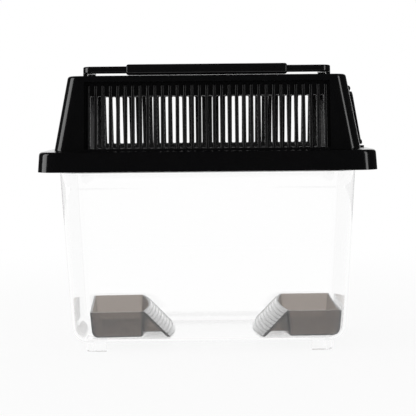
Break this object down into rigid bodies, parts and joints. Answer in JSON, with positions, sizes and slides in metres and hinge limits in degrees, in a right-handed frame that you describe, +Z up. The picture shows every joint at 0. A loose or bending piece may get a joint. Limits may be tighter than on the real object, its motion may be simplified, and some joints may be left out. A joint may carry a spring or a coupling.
{
  "type": "cricket keeper",
  "caption": "Small cricket keeper: clear tank on four feet, black hooded lid with ribbed grilles, side hatch and folding handle, and two smoked ramp dishes inside.",
  "frame": {"origin": "centre of the footprint, on the plane that the four feet stand on", "axes": "+X along the length, to the right of someone who faces the front; +Y to the back; +Z up"},
  "size_m": [0.1862, 0.1118, 0.1615],
  "materials": {
    "clear_plastic": "clear gloss",
    "black_plastic": "semi-gloss",
    "handle_plastic": "semi-gloss",
    "hatch_plastic": "semi-gloss",
    "smoked_plastic": "clear gloss, smoked"
  },
  "bodies": {
    "tank": {"tank": "clear_plastic", "foot_front_left": "clear_plastic", "foot_front_right": "clear_plastic", "foot_rear_left": "clear_plastic", "foot_rear_right": "clear_plastic"},
    "lid": {"lid_shell": "black_plastic", "front_grille": "black_plastic", "rear_grille": "black_plastic"},
    "handle": {"handle": "handle_plastic"},
    "hatch": {"hatch": "hatch_plastic"},
    "dish_left": {"dish_left": "smoked_plastic"},
    "dish_right": {"dish_right": "smoked_plastic"}
  },
  "joints": [
    {"name": "lid_lift", "type": "slide", "parent": "tank", "child": "lid", "axis": [0, 0, 1], "range_m": [0, 0.12]},
    {"name": "handle_swing", "type": "hinge", "parent": "lid", "child": "handle", "pos_m": [0, 0, 0.1585], "axis": [-1, 0, 0], "range_deg": [0, 180]},
    {"name": "hatch_swing", "type": "hinge", "parent": "lid", "child": "hatch", "pos_m": [0.08023, 0, 0.14747], "axis": [0, -1, 0], "range_deg": [0, 110]},
    {"name": "dish_left_lift", "type": "slide", "parent": "tank", "child": "dish_left", "axis": [0, 0, 1], "range_m": [0, 0.12]},
    {"name": "dish_right_lift", "type": "slide", "parent": "tank", "child": "dish_right", "axis": [0, 0, 1], "range_m": [0, 0.12]}
  ]
}
